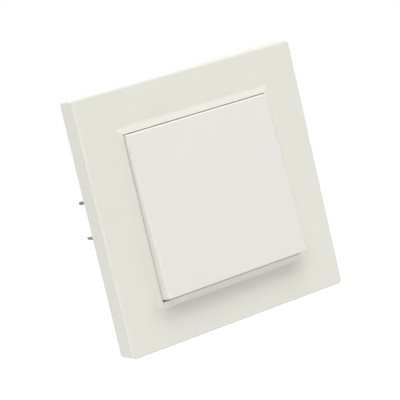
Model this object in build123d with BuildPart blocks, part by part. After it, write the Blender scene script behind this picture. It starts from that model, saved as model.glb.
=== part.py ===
from build123d import *
import math
import os

# Two-way light switch for a wall box: a cover frame, a rocker and the insert behind them.
# The wall surface is the plane y = 0, the room lies towards -Y, +Z is up and +X is to the right.
# Plane.XZ faces the room, so a height on it is a distance in front of the wall
# and a negative height is a depth behind the wall. All lengths are in millimetres.

# Cover frame
frame_side = 80.0
frame_depth = 7.5
frame_wall = 1.8
frame_front_wall = 2.0
frame_corner_radius = 1.3
frame_edge_radius = 0.7
opening_side = 52.2
lip_height = 0.65
lip_width = 2.0
lip_flat = 0.15
collar_wall = 1.5
collar_rear = 2.2
frame_rib_thickness = 1.2
frame_rib_offset = 23.0

# Rocker, drawn level and then tilted about the pivot to where it rests
rocker_tilt = 3.85
rocker_front = 11.1
rocker_side_gap = 0.25
rocker_end_gap = 0.65
rocker_wall = 2.0
rocker_skirt_wall = 1.6
rocker_skirt_depth = 6.6
rocker_edge_radius = 0.5
rocker_corner_radius = 0.9
rocker_rib_thickness = 1.4
rocker_rib_offset = 4.4
rocker_rib_length = 24.0
peg_x = 8.5
peg_z = 7.6
peg_width = 3.0
peg_thickness = 1.6
peg_hook = 0.5
peg_hook_length = 1.0
peg_hook_gap = 0.15
peg_clearance = 0.12

# Pivot of the rocker
pivot_front = 2.4
pivot_radius = 1.4
pivot_clearance = 0.05
pivot_lug_radius = 1.7

# Rocker carrier
carrier_width = 26.8
carrier_height = 22.0
carrier_thickness = 2.0
carrier_rear = 5.0
carrier_lug_thickness = 1.6
stub_length = 2.8
tube_radius = 3.2
tube_bore_radius = 2.0
tube_depth = 5.0
tube_cap = 1.2

# Plunger and its coil spring
plunger_clearance = 0.12
plunger_start_depth = 0.5
plunger_shoulder_depth = 6.6
plunger_tip_radius = 1.2
plunger_nose_steps = 2
plunger_blade_clearance = 0.05
spring_wire_radius = 0.22
spring_turns = 3.5

# Steel support ring
ring_frame_gap = 2.7
ring_thickness = 1.0
ring_corner_radius = 9.0
ring_opening_width = 36.8
ring_opening_height = 40.8
box_screw_pitch = 60.0
box_slot_width = 3.8
box_slot_length = 6.6
tab_offset = 14.0
tab_width = 7.0
tab_height = 4.6
tab_gap = 0.35
tab_window_width = 4.4
tab_window_low = 2.5
tab_window_high = 4.0
snap_width = 3.6
snap_reach = 0.9
screw_head_notch_width = 9.0
screw_head_notch_height = 4.2

# Mechanism cover with the bearing ears
cover_flange_width = 42.0
cover_flange_height = 43.6
cover_flange_thickness = 1.6
cover_notch_gap = 0.4
cover_fit = 0.2
ear_gap = 0.4
ear_thickness = 2.8
ear_half_height = 3.0
ear_top_bevel = 1.6
lug_pocket_clearance = 0.25
stop_x = 11.7
stop_z = 9.6
stop_width = 3.0
stop_clearance = 0.05
tube_swing_clearance = 1.1

# Moulded base
base_width = 40.0
base_height = 44.0
base_depth = 24.5
base_corner_radius = 3.0
base_rear_chamfer = 0.8
rear_wall = 3.0
contact_chamber_width = 18.0
contact_chamber_height = 25.0

# Contact blade, fulcrum and contact tips
fulcrum_depth = 10.0
blade_width = 5.0
blade_length = 18.6
blade_thickness = 0.8
contact_offset = 7.0
contact_opening = 3.0
contact_radius = 1.75
contact_head = 0.8
contact_flat_radius = 0.6
contact_gap = 0.02
fixed_contact_height = 1.0
blade_ear_height = 1.0
blade_ear_length = 1.7
fulcrum_notch_radius = 0.72
fulcrum_slot_width = 1.25
post_gap = 0.5
post_thickness = 0.8
post_half_height = 1.8
post_overrun = 1.2

# Busbars
strip_thickness = 0.8
pad_half_width = 2.6
pad_half_height = 2.4
arm_inner = 5.3
arm_outer = 8.2
leg_inner = 11.5
leg_width = 9.8
leg_clearance = 0.5
common_foot = 1.3

# Push-in terminals, one chamber for each pole
pole_offset = 10.5
chamber_half_width = 5.6
chamber_inner = 11.3
chamber_outer = 19.9
wire_offset = 3.5
wire_height = 14.3
wire_hole_radius = 1.6
wire_funnel_depth = 0.5
clamp_thickness = 0.3
clamp_width = 9.8
clamp_back = 19.3
clamp_rear_clearance = 0.8
clamp_depth = 5.6
clamp_tip_height = 12.75
clamp_tip_rise = 4.6
clamp_bend_radius = 0.8
clamp_slit = 0.8
clamp_slit_height = 17.4
lever_thickness = 2.0
lever_low = 13.5
lever_high = 16.0
lever_shoulder = 0.7
lever_proud = 0.9
lever_clearance = 0.15
lever_gap = 0.2

# Rivets through cover and base
rivet_top_z = 16.6
rivet_bottom_x = 12.0
rivet_bottom_z = -16.6
rivet_radius = 1.25
rivet_head_radius = 2.2
rivet_head_height = 0.6
rivet_depth = 9.0
rivet_pocket_side = 5.2
rivet_clearance = 0.03

# Spreader claws with their screws and nuts
claw_screw_offset = 3.2
claw_screw_radius = 1.5
claw_screw_length = 20.0
claw_screw_head_radius = 2.6
claw_screw_head_height = 1.8
claw_screw_recess = 0.9
claw_screw_hole_radius = 1.7
claw_screw_slot_width = 0.7
claw_screw_slot_length = 3.6
claw_nut_side = 5.5
claw_nut_thickness = 1.8
claw_nut_travel = 3.0
claw_nut_clearance = 0.03
claw_pivot_inset = 1.5
claw_pivot_depth = 12.0
claw_sheet = 1.0
claw_width = 14.4
claw_lug_length = 8.6
claw_reach = 6.4
claw_tip_depth = 23.0
claw_tip_z = 5.65
claw_tip_width = 0.8
claw_prong_inner = 4.8
claw_prong_root = 1.6
claw_ear_half = 0.6
claw_ear_length = 1.6
claw_groove_half = 0.95
claw_slot_length = 4.4
claw_slot_width = 3.5
claw_gap = 0.05
claw_recess_depth = 2.8
claw_recess_half_height = 7.6
claw_recess_start = 6.0
nut_rib_half_height = 2.0
nut_rib_start = 14.0
nut_rib_gap = 0.2

# Sizes that follow from the ones above
frame_half = frame_side / 2
opening_half = opening_side / 2
crest_half = opening_half + lip_flat
foot_half = crest_half + lip_width
lip_taper = math.degrees(math.atan2(lip_width, lip_height))
collar_half = opening_half + collar_wall
frame_inner_half = frame_half - frame_wall
frame_cavity = frame_depth - frame_front_wall
ring_side = 2 * (frame_inner_half - ring_frame_gap)
rocker_width = opening_side - 2 * rocker_side_gap
rocker_height = opening_side - 2 * rocker_end_gap
rocker_inside = rocker_front - rocker_wall
carrier_front = carrier_rear + carrier_thickness
carrier_half = carrier_width / 2
cover_front = ring_thickness + cover_flange_thickness
ear_start = carrier_half + ear_gap
bearing_radius = pivot_radius + pivot_clearance
chamber_depth = base_depth - rear_wall
leg_depth = chamber_depth - leg_clearance
clamp_bend_depth = chamber_depth - clamp_rear_clearance
clamp_front_depth = clamp_bend_depth - clamp_depth
clamp_tip_depth = clamp_bend_depth - clamp_tip_rise
rivet_points = [(0, rivet_top_z), (rivet_bottom_x, rivet_bottom_z), (-rivet_bottom_x, rivet_bottom_z)]

# The blade tilts until the contact opposite stands open by contact_opening
blade_half = blade_thickness / 2
blade_tilt = math.degrees(math.asin(contact_opening / (2 * contact_offset)))
tip_apex = blade_half + contact_head
tip_shoulder = tip_apex - (contact_radius - contact_flat_radius) * math.tan(math.radians(blade_tilt))
tip_reach = (
    tip_apex * math.cos(math.radians(blade_tilt)) + contact_flat_radius * math.sin(math.radians(blade_tilt))
)
contact_face_depth = fulcrum_depth + contact_opening / 2 + tip_reach + contact_gap
strip_front_depth = contact_face_depth + fixed_contact_height
strip_back_depth = strip_front_depth + strip_thickness
post_inner = blade_width / 2 + post_gap
post_outer = post_inner + post_thickness

# The plunger ends just short of the level blade
plunger_radius = tube_bore_radius - plunger_clearance
plunger_tip_depth = fulcrum_depth - blade_half - plunger_tip_radius - plunger_blade_clearance
nose_turns = [step * math.pi / 2 / plunger_nose_steps for step in range(plunger_nose_steps)]
nose = [(math.cos(turn), math.sin(turn)) for turn in nose_turns]
tube_blind = carrier_front - tube_cap
spring_radius = tube_bore_radius - plunger_clearance - spring_wire_radius
spring_height = tube_blind + plunger_start_depth - 2 * spring_wire_radius

# The claws turn in the sides of the base, and their screws stand just outside them
claw_pivot_x = base_width / 2 - claw_pivot_inset
claw_screw_x = base_width / 2 + claw_screw_offset
claw_tip_x = claw_screw_x + claw_reach

# The claw lug leans back by claw_lug_angle at rest and forward by as much when the nut is drawn up
claw_lug_angle = math.atan(claw_nut_travel / (2 * (claw_screw_x - claw_pivot_x)))
claw_bend_x = claw_pivot_x + claw_lug_length * math.cos(claw_lug_angle)
claw_bend_depth = claw_pivot_depth + claw_lug_length * math.sin(claw_lug_angle)
claw_arm_angle = math.atan2(claw_tip_depth - claw_bend_depth, claw_tip_x - claw_bend_x)
claw_arm_length = math.hypot(claw_tip_depth - claw_bend_depth, claw_tip_x - claw_bend_x)
claw_slot_centre = (claw_screw_x - claw_pivot_x) / math.cos(claw_lug_angle / 2)
claw_nut_outer = claw_screw_x + claw_nut_side / 2
claw_nut_depth = (
    claw_pivot_depth
    + (claw_nut_outer - claw_pivot_x) * math.tan(claw_lug_angle)
    + claw_sheet / 2 / math.cos(claw_lug_angle)
    + claw_gap
)

# The lever's nose lies along the tongue of the clamp spring
tongue_slope = clamp_tip_rise / (clamp_back - clamp_tip_height)
lever_head_low = lever_low - lever_shoulder
lever_head_high = lever_high + lever_shoulder
nose_setback = (clamp_thickness / 2 + lever_gap) * math.hypot(1, tongue_slope)

# Axes that the rocker and the contact blade turn about
rocker_axis = Axis((0, -pivot_front, 0), (1, 0, 0))
blade_axis = Axis((0, fulcrum_depth, 0), (1, 0, 0))

poles = {"traveller_1": (-pole_offset, 1), "traveller_2": (pole_offset, 1), "common": (0, -1)}


def level(height):
    """Plane parallel to the wall, that far in front of it."""
    return Plane.XZ.offset(height)


def upright(x):
    """Plane across X at x, with +Z along its first axis and the room along its second."""
    return Plane(origin=(x, 0, 0), x_dir=(0, 0, 1), z_dir=(1, 0, 0))


def lying(z):
    """Plane across Z at z, with +X along its first axis and the room along its second."""
    return Plane(origin=(0, 0, z), x_dir=(1, 0, 0), z_dir=(0, 0, -1))


def terminal(pole):
    """Plane through the middle of a pole's terminal, with its first axis away from the middle."""
    centre, side = poles[pole]
    return Plane(origin=(centre, 0, 0), x_dir=(0, 0, side), z_dir=(side, 0, 0))


def block(left, low, right, high, mode=Mode.ADD):
    """Rectangle between two corners, added to the open sketch."""
    with Locations(((left + right) / 2, (low + high) / 2)):
        Rectangle(right - left, high - low, mode=mode)


# Cover frame: a rounded plate with a low border that slopes up to the opening
with BuildPart() as cover_frame:
    with BuildSketch(level(0)):
        RectangleRounded(frame_side, frame_side, frame_corner_radius)
    extrude(amount=frame_depth)
    fillet(cover_frame.faces().sort_by(Axis.Y)[0].edges(), frame_edge_radius)
    with BuildSketch(level(frame_depth)):
        Rectangle(2 * foot_half, 2 * foot_half)
    extrude(amount=lip_height, taper=lip_taper)
    # Hollow behind the front wall, around the collar that guides the rocker
    with BuildSketch(level(0)):
        Rectangle(2 * frame_inner_half, 2 * frame_inner_half)
        Rectangle(2 * collar_half, 2 * collar_half, mode=Mode.SUBTRACT)
    extrude(amount=frame_cavity, mode=Mode.SUBTRACT)
    with BuildSketch(level(0)):
        Rectangle(2 * collar_half, 2 * collar_half)
    extrude(amount=collar_rear, mode=Mode.SUBTRACT)
    with BuildSketch(level(0)):
        Rectangle(opening_side, opening_side)
    extrude(amount=frame_depth + lip_height, mode=Mode.SUBTRACT)
    # Ribs that rest on the support ring
    with BuildSketch(level(ring_thickness)):
        with PolarLocations((collar_half + frame_inner_half) / 2, 4):
            with Locations((0, frame_rib_offset), (0, -frame_rib_offset)):
                Rectangle(frame_inner_half - collar_half + collar_wall, frame_rib_thickness)
    extrude(amount=frame_cavity - ring_thickness + frame_front_wall / 2)
    # Notches in the collar over the heads of the box screws
    with BuildSketch(level(0)):
        with PolarLocations(box_screw_pitch / 2, 4):
            Rectangle(box_screw_pitch - opening_side + collar_wall, screw_head_notch_width)
    extrude(amount=screw_head_notch_height, mode=Mode.SUBTRACT)
    # Snap wedges that catch in the windows of the ring's tabs
    window_middle = (tab_window_low + tab_window_high) / 2
    with BuildSketch(lying(tab_offset)):
        Polygon(
            (collar_half - collar_wall / 2, tab_window_low),
            (collar_half, tab_window_low + tab_gap / 2),
            (collar_half + snap_reach, window_middle),
            (collar_half, tab_window_high - tab_gap / 2),
            (collar_half - collar_wall / 2, tab_window_high),
            align=None,
        )
        mirror(about=Plane.YZ)
    wedges = extrude(amount=snap_width / 2, both=True)
    mirror(wedges, about=Plane.XY)

# Rocker: a hollow cap with ribs that sit on the carrier and hooked pegs that hold it there
with BuildPart() as level_rocker:
    with BuildSketch(level(rocker_front)):
        RectangleRounded(rocker_width, rocker_height, rocker_corner_radius)
    extrude(amount=-rocker_skirt_depth)
    rocker_face = level_rocker.faces().filter_by(Axis.Y).sort_by(Axis.Y)[0]
    fillet(rocker_face.edges(), rocker_edge_radius)
    with BuildSketch(level(rocker_inside)):
        Rectangle(rocker_width - 2 * rocker_skirt_wall, rocker_height - 2 * rocker_skirt_wall)
    extrude(amount=-rocker_skirt_depth, mode=Mode.SUBTRACT)
    with BuildSketch(level(carrier_front)):
        with Locations((0, rocker_rib_offset), (0, -rocker_rib_offset)):
            Rectangle(rocker_rib_length, rocker_rib_thickness)
    extrude(amount=rocker_inside - carrier_front + rocker_wall / 2)
    with BuildSketch(upright(peg_x)):
        Polygon(
            (peg_z - peg_thickness / 2, rocker_inside + rocker_wall / 2),
            (peg_z + peg_thickness / 2, rocker_inside + rocker_wall / 2),
            (peg_z + peg_thickness / 2, carrier_rear - peg_hook_gap),
            (peg_z + peg_thickness / 2 + peg_hook, carrier_rear - peg_hook_gap),
            (peg_z + peg_thickness / 2, carrier_rear - peg_hook_length),
            (peg_z - peg_thickness / 2, carrier_rear - peg_hook_length),
            align=None,
        )
        mirror(about=Plane.YZ)
    pegs = extrude(amount=peg_width / 2, both=True)
    mirror(pegs, about=Plane.YZ)

# Rocker carrier: plate, two pivot lugs with stubs, and the tube that holds the plunger
with BuildPart() as level_carrier:
    with BuildSketch(level(carrier_rear)):
        Rectangle(carrier_width, carrier_height)
        with GridLocations(2 * peg_x, 2 * peg_z, 2, 2):
            Rectangle(
                peg_width + 2 * peg_clearance,
                peg_thickness + 2 * peg_clearance,
                mode=Mode.SUBTRACT,
            )
    extrude(amount=carrier_thickness)
    with BuildSketch(upright(carrier_half - carrier_lug_thickness)):
        with Locations((0, pivot_front)):
            Circle(pivot_lug_radius)
        block(-pivot_lug_radius, pivot_front, pivot_lug_radius, carrier_rear)
    lug = extrude(amount=carrier_lug_thickness)
    with BuildSketch(upright(carrier_half)):
        with Locations((0, pivot_front)):
            Circle(pivot_radius)
    stub = extrude(amount=stub_length)
    mirror([lug, stub], about=Plane.YZ)
    with BuildSketch(level(carrier_rear)):
        Circle(tube_radius)
    extrude(amount=-carrier_rear - tube_depth)
    with BuildSketch(level(-tube_depth)):
        Circle(tube_bore_radius)
    extrude(amount=tube_depth + tube_blind, mode=Mode.SUBTRACT)

# Plunger with a round nose, in the bore of the carrier's tube
with BuildPart() as level_plunger:
    with BuildSketch(lying(0)):
        with BuildLine():
            Polyline(
                (0, -plunger_start_depth),
                (plunger_radius, -plunger_start_depth),
                (plunger_radius, -plunger_shoulder_depth),
                *[
                    (plunger_tip_radius * out, -plunger_tip_depth - plunger_tip_radius * down)
                    for out, down in nose
                ],
                (0, -plunger_tip_depth - plunger_tip_radius),
                close=True,
            )
        make_face()
    revolve(axis=Axis.Y)

# Coil spring between the blind end of the tube and the plunger
with BuildPart() as level_spring:
    with BuildLine():
        coil = Helix(
            pitch=spring_height / spring_turns,
            height=spring_height,
            radius=spring_radius,
            center=(0, plunger_start_depth - spring_wire_radius, 0),
            direction=(0, -1, 0),
        )
    with BuildSketch(Plane(origin=coil @ 0, z_dir=coil % 0)):
        RegularPolygon(spring_wire_radius, side_count=4)
    sweep()

# Support ring: sheet steel with slots for the box screws and four tabs bent up for the frame
tab_inner = collar_half + tab_gap
tab_outer = tab_inner + ring_thickness
with BuildPart() as support_ring:
    with BuildSketch(level(0)):
        RectangleRounded(ring_side, ring_side, ring_corner_radius)
        Rectangle(ring_opening_width, ring_opening_height, mode=Mode.SUBTRACT)
        with PolarLocations(box_screw_pitch / 2, 4):
            SlotOverall(box_slot_length, box_slot_width, mode=Mode.SUBTRACT)
        with Locations((claw_screw_x, 0), (-claw_screw_x, 0)):
            Circle(claw_screw_hole_radius, mode=Mode.SUBTRACT)
        tab_length = tab_height - ring_thickness
        with GridLocations(2 * tab_outer + tab_length, 2 * tab_offset, 2, 2):
            Rectangle(tab_length, tab_width, mode=Mode.SUBTRACT)
    extrude(amount=ring_thickness)
    with BuildSketch(upright(tab_inner)):
        block(tab_offset - tab_width / 2, ring_thickness, tab_offset + tab_width / 2, tab_height)
        with Locations((tab_offset, (tab_window_low + tab_window_high) / 2)):
            Rectangle(tab_window_width, tab_window_high - tab_window_low, mode=Mode.SUBTRACT)
        mirror(about=Plane.YZ)
    tabs = extrude(amount=ring_thickness)
    mirror(tabs, about=Plane.YZ)

# Mechanism cover: plug in the ring's opening, flange on the ring, bearing ears and rocker stops
stop_top = (
    pivot_front
    + (carrier_rear - pivot_front) / math.cos(math.radians(rocker_tilt))
    - (stop_z + stop_width / 2) * math.tan(math.radians(rocker_tilt))
    - stop_clearance
)
pocket_outer = ear_start
pocket_inner = carrier_half - carrier_lug_thickness - ear_gap
with BuildPart() as mechanism_cover:
    with BuildSketch(level(0)):
        Rectangle(ring_opening_width - 2 * cover_fit, ring_opening_height - 2 * cover_fit)
    extrude(amount=ring_thickness)
    with BuildSketch(level(ring_thickness)):
        Rectangle(cover_flange_width, cover_flange_height)
        with Locations((claw_screw_x, 0), (-claw_screw_x, 0)):
            Circle(claw_screw_head_radius + cover_notch_gap, mode=Mode.SUBTRACT)
    extrude(amount=cover_flange_thickness)
    with BuildSketch(upright(ear_start)) as ear_section:
        block(-ear_half_height, ring_thickness, ear_half_height, pivot_front + ear_half_height)
        chamfer(ear_section.vertices().group_by(Axis.Y)[-1], ear_top_bevel)
    ear = extrude(amount=ear_thickness)
    mirror(ear, about=Plane.YZ)
    with BuildSketch(upright(ear_start)):
        with Locations((0, pivot_front)):
            Circle(bearing_radius)
    bore = extrude(amount=ear_thickness, mode=Mode.SUBTRACT)
    mirror(bore, about=Plane.YZ, mode=Mode.SUBTRACT)
    pocket_floor = pivot_front - pivot_lug_radius - lug_pocket_clearance
    pocket_half_height = pivot_lug_radius + lug_pocket_clearance
    with BuildSketch(level(pocket_floor)):
        block(pocket_inner, -pocket_half_height, pocket_outer, pocket_half_height)
        block(-pocket_outer, -pocket_half_height, -pocket_inner, pocket_half_height)
    extrude(amount=cover_front - pocket_floor, mode=Mode.SUBTRACT)
    with BuildSketch(level(0)):
        opening_height = 2 * (tube_radius + tube_swing_clearance)
        Rectangle(opening_height, opening_height)
        with Locations(*rivet_points):
            Circle(rivet_radius + rivet_clearance)
    extrude(amount=cover_front, mode=Mode.SUBTRACT)
    with BuildSketch(level(ring_thickness)):
        with GridLocations(2 * stop_x, 2 * stop_z, 2, 2):
            Rectangle(stop_width, stop_width)
    extrude(amount=stop_top - ring_thickness)

# Moulded base: contact chamber in the middle, a terminal chamber for each pole, claw recesses beside
recess_floor = base_width / 2 - claw_recess_depth
with BuildPart() as base:
    with BuildSketch(level(0)):
        RectangleRounded(base_width, base_height, base_corner_radius)
    extrude(amount=-base_depth)
    chamfer(base.faces().sort_by(Axis.Y)[-1].edges(), base_rear_chamfer)
    with BuildSketch(level(-claw_recess_start)):
        block(recess_floor, -claw_recess_half_height, base_width / 2, claw_recess_half_height)
        block(-base_width / 2, -claw_recess_half_height, -recess_floor, claw_recess_half_height)
    extrude(amount=-base_depth, mode=Mode.SUBTRACT)
    # Grooves that the claw ears slide into from the back
    with BuildSketch(Plane.XY.offset(claw_recess_half_height)):
        for side in (1, -1):
            groove_left = side * claw_pivot_x - claw_groove_half
            groove_front = claw_pivot_depth - claw_groove_half
            block(groove_left, groove_front, groove_left + 2 * claw_groove_half, base_depth)
    grooves = extrude(amount=claw_ear_length, mode=Mode.SUBTRACT)
    mirror(grooves, about=Plane.XY, mode=Mode.SUBTRACT)
    # Ribs that keep the claw nuts from turning
    with BuildSketch(level(-nut_rib_start)):
        rib_end = claw_screw_x - claw_nut_side / 2 - nut_rib_gap
        block(recess_floor - nut_rib_gap, -nut_rib_half_height, rib_end, nut_rib_half_height)
        block(-rib_end, -nut_rib_half_height, nut_rib_gap - recess_floor, nut_rib_half_height)
    extrude(amount=nut_rib_start - base_depth)
    with BuildSketch(level(0)):
        Rectangle(contact_chamber_width, contact_chamber_height)
    extrude(amount=-strip_back_depth, mode=Mode.SUBTRACT)
    with BuildSketch(level(0)):
        for centre, side in poles.values():
            with Locations((centre, side * (chamber_inner + chamber_outer) / 2)):
                Rectangle(2 * chamber_half_width, chamber_outer - chamber_inner)
    extrude(amount=-chamber_depth, mode=Mode.SUBTRACT)
    # Wire entries with funnels, and the windows of the release levers
    with BuildSketch(level(-base_depth)):
        for centre, side in poles.values():
            with Locations((centre, side * wire_height)):
                with Locations((wire_offset, 0), (-wire_offset, 0)):
                    Circle(wire_hole_radius)
            with Locations((centre, side * (lever_low + lever_high) / 2)):
                Rectangle(lever_thickness + 2 * lever_clearance, lever_high - lever_low + 2 * lever_clearance)
    extrude(amount=rear_wall, mode=Mode.SUBTRACT)
    with BuildSketch(level(-base_depth)):
        for centre, side in poles.values():
            with Locations((centre, side * wire_height)):
                with Locations((wire_offset, 0), (-wire_offset, 0)):
                    Circle(wire_hole_radius + wire_funnel_depth)
    extrude(amount=wire_funnel_depth, taper=45, mode=Mode.SUBTRACT)
    with BuildSketch(level(0)):
        with Locations(*rivet_points):
            Circle(rivet_radius + rivet_clearance)
    extrude(amount=-base_depth, mode=Mode.SUBTRACT)
    with BuildSketch(level(-rivet_depth)):
        with Locations(*rivet_points):
            Rectangle(rivet_pocket_side, rivet_pocket_side)
    extrude(amount=rivet_depth - base_depth, mode=Mode.SUBTRACT)

# Rivets, set over at the bottom of the pockets in the base
with BuildPart() as rivets:
    with BuildSketch(level(cover_front)):
        with Locations(*rivet_points):
            Circle(rivet_head_radius)
    extrude(amount=rivet_head_height)
    with BuildSketch(level(cover_front)):
        with Locations(*rivet_points):
            Circle(rivet_radius)
    extrude(amount=-cover_front - rivet_depth)
    with BuildSketch(level(-rivet_depth)):
        with Locations(*rivet_points):
            Circle(rivet_head_radius)
    extrude(amount=-rivet_head_height)

# Contact blade with ears that rock in the fulcrum posts
with BuildPart() as level_blade:
    with BuildSketch(level(-fulcrum_depth)):
        Rectangle(blade_width, blade_length)
        Rectangle(blade_width + 2 * blade_ear_length, blade_ear_height)
    extrude(amount=blade_half, both=True)

# Contact tips welded to the back of the blade, coned so that a closed tip lies flat on the fixed one
with BuildPart() as level_moving_contacts:
    with BuildSketch(lying(contact_offset)):
        Polygon(
            (0, -blade_half - fulcrum_depth),
            (contact_radius, -blade_half - fulcrum_depth),
            (contact_radius, -tip_shoulder - fulcrum_depth),
            (contact_flat_radius, -tip_apex - fulcrum_depth),
            (0, -tip_apex - fulcrum_depth),
            align=None,
        )
    upper_contact = revolve(axis=Axis((0, 0, contact_offset), (0, 1, 0)))
    mirror(upper_contact, about=Plane.XY)

# Fixed contact tips welded to the traveller busbars
with BuildPart() as fixed_contacts:
    with BuildSketch(level(-strip_front_depth)):
        with GridLocations(0, 2 * contact_offset, 1, 2):
            Circle(contact_radius)
    extrude(amount=fixed_contact_height)

# Busbars: flat strips on the floor of the contact chamber, each with a leg back into its terminal
leg_outer = leg_inner + strip_thickness
pad_top = contact_offset + pad_half_height
with BuildPart() as traveller_busbar_1:
    with BuildSketch(level(-strip_back_depth)):
        block(-arm_outer, contact_offset - pad_half_height, pad_half_width, pad_top)
        block(-arm_outer, contact_offset, -arm_inner, leg_outer)
    extrude(amount=strip_thickness)
    with BuildSketch(level(-strip_front_depth)):
        block(-pole_offset - leg_width / 2, leg_inner, -pole_offset + leg_width / 2, leg_outer)
    extrude(amount=strip_front_depth - leg_depth)

with BuildPart() as traveller_busbar_2:
    with BuildSketch(level(-strip_back_depth)):
        block(-pad_half_width, -pad_top, arm_outer, pad_half_height - contact_offset)
        block(arm_inner, -pad_top, arm_outer, leg_outer)
    extrude(amount=strip_thickness)
    with BuildSketch(level(-strip_front_depth)):
        block(pole_offset - leg_width / 2, leg_inner, pole_offset + leg_width / 2, leg_outer)
    extrude(amount=strip_front_depth - leg_depth)

with BuildPart() as common_busbar:
    with BuildSketch(level(-strip_back_depth)):
        block(-arm_outer, -post_half_height, post_outer, post_half_height)
        block(-arm_outer, -leg_outer, -arm_inner, post_half_height)
        block(-arm_outer, -leg_outer, leg_width / 2, common_foot - leg_outer)
    extrude(amount=strip_thickness)
    with BuildSketch(level(-strip_front_depth)):
        block(-leg_width / 2, -leg_outer, leg_width / 2, -leg_inner)
    extrude(amount=strip_front_depth - leg_depth)
    with BuildSketch(upright(post_inner)):
        block(-post_half_height, -strip_front_depth, post_half_height, post_overrun - fulcrum_depth)
        with Locations((0, -fulcrum_depth)):
            Circle(fulcrum_notch_radius, mode=Mode.SUBTRACT)
        block(
            -fulcrum_slot_width / 2,
            -fulcrum_depth,
            fulcrum_slot_width / 2,
            post_overrun - fulcrum_depth,
            mode=Mode.SUBTRACT,
        )
    post = extrude(amount=post_thickness)
    mirror(post, about=Plane.YZ)


def build_clamp_spring(pole):
    """Leaf spring with two tongues that press the wires onto the busbar's leg."""
    with BuildPart() as spring:
        with BuildSketch(terminal(pole)):
            with BuildLine():
                FilletPolyline(
                    (clamp_slit_height - 2 * clamp_bend_radius, -clamp_front_depth),
                    (clamp_back, -clamp_front_depth),
                    (clamp_back, -clamp_bend_depth),
                    (clamp_tip_height, -clamp_tip_depth),
                    radius=clamp_bend_radius,
                )
            trace(line_width=clamp_thickness)
        extrude(amount=clamp_width / 2, both=True)
        with BuildSketch(terminal(pole)):
            block(leg_inner, -base_depth, clamp_slit_height, -clamp_front_depth - clamp_thickness)
        extrude(amount=clamp_slit / 2, both=True, mode=Mode.SUBTRACT)
    return spring


def build_release_lever(pole):
    """Push piece that lifts both tongues off the wires."""
    shoulder = -chamber_depth + lever_clearance
    with BuildPart() as lever:
        with BuildSketch(terminal(pole)):
            Polygon(
                (lever_low, -base_depth - lever_proud),
                (lever_high, -base_depth - lever_proud),
                (lever_high, shoulder),
                (lever_head_high, shoulder),
                (
                    lever_head_high,
                    -clamp_tip_depth - tongue_slope * (lever_head_high - clamp_tip_height) - nose_setback,
                ),
                (
                    lever_head_low,
                    -clamp_tip_depth - tongue_slope * (lever_head_low - clamp_tip_height) - nose_setback,
                ),
                (lever_head_low, shoulder),
                (lever_low, shoulder),
                align=None,
            )
        extrude(amount=lever_thickness / 2, both=True)
    return lever


def build_claw(side):
    """Forked steel claw: lug with an oblong screw hole, a bend, and two prongs."""
    lug_cos, lug_sin = math.cos(claw_lug_angle), math.sin(claw_lug_angle)
    arm_cos, arm_sin = math.cos(claw_arm_angle), math.sin(claw_arm_angle)
    lug_plane = Plane(
        origin=(side * claw_pivot_x, claw_pivot_depth, 0),
        x_dir=(side * lug_cos, lug_sin, 0),
        z_dir=(lug_sin, -side * lug_cos, 0),
    )
    arm_plane = Plane(
        origin=(side * claw_bend_x, claw_bend_depth, 0),
        x_dir=(side * arm_cos, arm_sin, 0),
        z_dir=(arm_sin, -side * arm_cos, 0),
    )
    prong_half = claw_tip_width / 2
    with BuildPart() as claw:
        with BuildSketch(lug_plane):
            block(-claw_ear_half, -claw_width / 2, claw_lug_length, claw_width / 2)
            Rectangle(2 * claw_ear_half, claw_width + 2 * claw_ear_length)
            with Locations((claw_slot_centre, 0)):
                SlotOverall(claw_slot_length, claw_slot_width, mode=Mode.SUBTRACT)
        extrude(amount=claw_sheet / 2, both=True)
        with BuildSketch(Plane.XY):
            with Locations((side * claw_bend_x, claw_bend_depth)):
                Circle(claw_sheet / 2)
        extrude(amount=claw_width / 2, both=True)
        with BuildSketch(arm_plane):
            Polygon(
                (0, claw_width / 2),
                (claw_prong_root, claw_width / 2),
                (claw_arm_length, claw_tip_z + prong_half),
                (claw_arm_length, claw_tip_z - prong_half),
                (claw_prong_root, claw_prong_inner),
                (claw_prong_root, -claw_prong_inner),
                (claw_arm_length, prong_half - claw_tip_z),
                (claw_arm_length, -prong_half - claw_tip_z),
                (claw_prong_root, -claw_width / 2),
                (0, -claw_width / 2),
                align=None,
            )
        extrude(amount=claw_sheet / 2, both=True)
    return claw


def build_claw_screw(side):
    """Screw with a cross recess, from the ring back through the claw into the nut."""
    head_top = ring_thickness + claw_screw_head_height
    with BuildPart() as screw:
        with BuildSketch(level(ring_thickness)):
            with Locations((side * claw_screw_x, 0)):
                Circle(claw_screw_head_radius)
        extrude(amount=claw_screw_head_height)
        with BuildSketch(level(head_top)):
            with Locations((side * claw_screw_x, 0)):
                Rectangle(claw_screw_slot_length, claw_screw_slot_width)
                Rectangle(claw_screw_slot_width, claw_screw_slot_length)
        extrude(amount=-claw_screw_recess, mode=Mode.SUBTRACT)
        with BuildSketch(level(ring_thickness)):
            with Locations((side * claw_screw_x, 0)):
                Circle(claw_screw_radius)
        extrude(amount=-claw_screw_length)
    return screw


def build_claw_nut(side):
    """Square nut behind the claw's lug."""
    with BuildPart() as nut:
        with BuildSketch(level(-claw_nut_depth)):
            with Locations((side * claw_screw_x, 0)):
                Rectangle(claw_nut_side, claw_nut_side)
                Circle(claw_screw_radius + claw_nut_clearance, mode=Mode.SUBTRACT)
        extrude(amount=-claw_nut_thickness)
    return nut


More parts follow.
